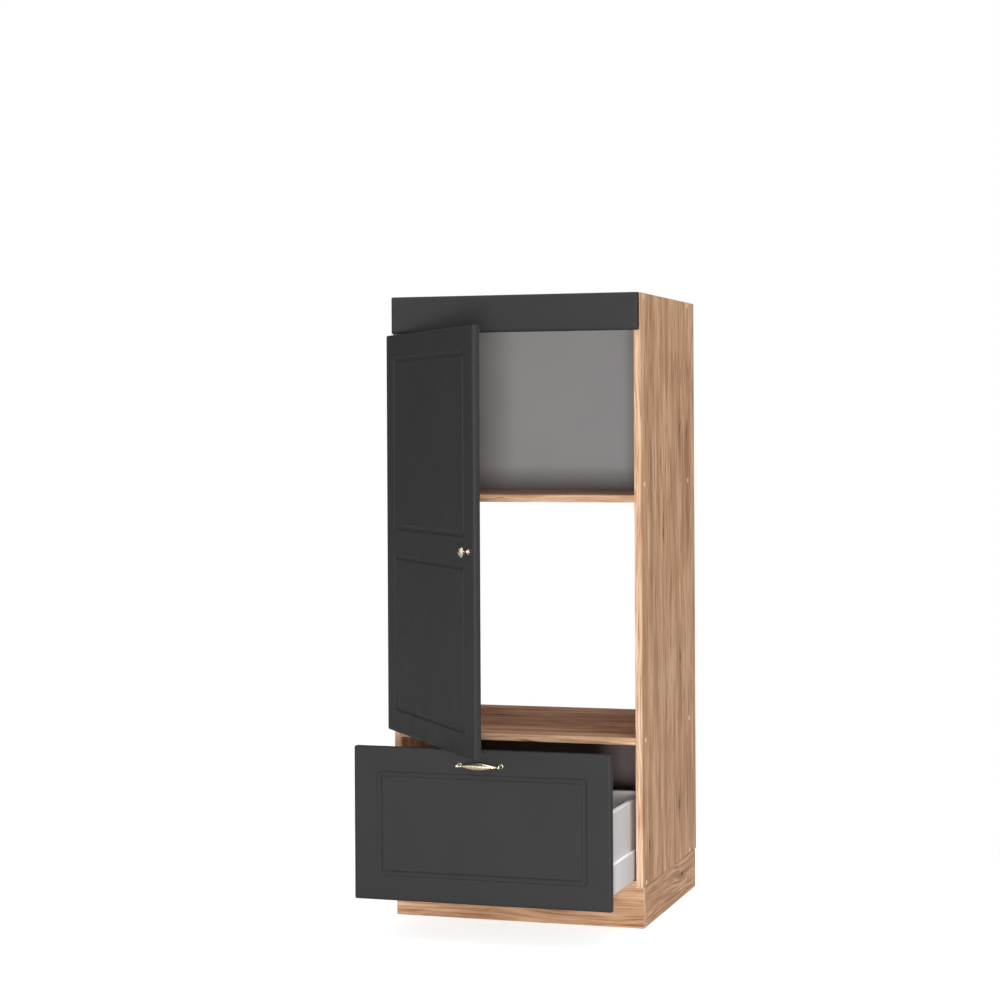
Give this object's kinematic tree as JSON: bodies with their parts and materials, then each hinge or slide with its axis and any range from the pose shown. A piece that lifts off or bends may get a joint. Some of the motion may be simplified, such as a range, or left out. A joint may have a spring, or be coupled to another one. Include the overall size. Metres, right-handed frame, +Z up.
{
  "type": "microwave cabinet",
  "caption": "Half-height kitchen cabinet with an open niche, a closed upper compartment behind a framed swing door, and a deep full-extension drawer on a plinth.",
  "frame": {"origin": "floor level, middle of the plinth's front face", "axes": "+X to the right seen from the front, +Y to the back, +Z up"},
  "size_m": [0.612, 1.0296, 1.454],
  "materials": {
    "oak_decor": "satin",
    "grey_panel": "matte",
    "anthracite_front": "satin",
    "cap_plastic": "matte",
    "clear_nylon": "matte",
    "zinc_steel": "satin",
    "nickel_steel": "polished",
    "runner_steel": "satin",
    "beech": "matte",
    "antique_brass": "satin",
    "grey_metal": "matte",
    "grey_board": "matte"
  },
  "bodies": {
    "carcass": {"side_left": "oak_decor", "side_right": "oak_decor", "top_panel": "oak_decor", "upper_shelf": "oak_decor", "niche_floor": "oak_decor", "bottom_panel": "oak_decor", "back_upper": "grey_panel", "back_lower": "grey_panel", "fascia": "anthracite_front", "fascia_pads": "clear_nylon", "fascia_brackets": "zinc_steel", "wall_brackets": "zinc_steel", "shelf_cams": "zinc_steel", "cam_bolts": "zinc_steel", "bracket_screws": "zinc_steel", "connecting_screws": "zinc_steel", "dowels": "beech", "cover_caps": "cap_plastic", "plinth_front": "oak_decor", "plinth_back": "oak_decor", "plinth_left": "oak_decor", "plinth_right": "oak_decor", "plinth_blocks": "beech", "plinth_screws": "zinc_steel", "hinge_plates": "nickel_steel", "hinge_arms": "nickel_steel", "hinge_arm_pins": "zinc_steel", "hinge_arm_screws": "zinc_steel", "runner_cabinet_members": "runner_steel", "euro_screws": "zinc_steel"},
    "door": {"door": "anthracite_front", "knob": "antique_brass", "knob_rosette": "antique_brass", "knob_screw": "zinc_steel", "door_bumpers": "clear_nylon", "hinge_cups": "nickel_steel", "hinge_cup_pins": "zinc_steel", "hinge_cup_screws": "zinc_steel"},
    "hinge_inner": {"hinge_inner_links": "nickel_steel", "hinge_elbow_pins": "zinc_steel"},
    "hinge_outer": {"hinge_outer_links": "nickel_steel"},
    "runner_middle": {"runner_middle_members": "runner_steel", "runner_slide_blocks": "clear_nylon"},
    "drawer": {"drawer_front": "anthracite_front", "handle": "antique_brass", "handle_rosettes": "antique_brass", "handle_screws": "zinc_steel", "drawer_profile_left": "grey_metal", "drawer_profile_right": "grey_metal", "drawer_side_left": "grey_board", "drawer_side_right": "grey_board", "drawer_bottom": "grey_board", "drawer_back": "grey_board", "drawer_back_brackets": "zinc_steel", "drawer_front_brackets": "zinc_steel", "drawer_screws": "zinc_steel", "drawer_bumpers": "clear_nylon", "runner_drawer_members": "runner_steel", "runner_drawer_screws": "zinc_steel"}
  },
  "joints": [
    {"name": "door_swing", "type": "hinge", "parent": "carcass", "child": "door", "pos_m": [-0.3, -0.01, 0.9015], "axis": [0, 0, -1], "range_deg": [-52, 58]},
    {"name": "hinge_inner_turn", "type": "hinge", "parent": "carcass", "child": "hinge_inner", "pos_m": [-0.262, 0.0015, 0.9015], "axis": [0, 0, -1], "range_deg": [-52, 58]},
    {"name": "hinge_outer_turn", "type": "hinge", "parent": "door", "child": "hinge_outer", "pos_m": [-0.29523, -0.03153, 0.9015], "axis": [0, 0, -1], "range_deg": [-58, 52]},
    {"name": "drawer_slide", "type": "slide", "parent": "carcass", "child": "drawer", "axis": [0, -1, 0], "range_m": [-0.256, 0.194]},
    {"name": "runner_middle_slide", "type": "slide", "parent": "carcass", "child": "runner_middle", "axis": [0, -1, 0], "range_m": [-0.128, 0.097]}
  ],
  "couplings": [
    {"joint": "hinge_inner_turn", "follows": "door_swing", "ratio": 1},
    {"joint": "hinge_outer_turn", "follows": "door_swing", "ratio": -1},
    {"joint": "runner_middle_slide", "follows": "drawer_slide", "ratio": 0.5}
  ]
}
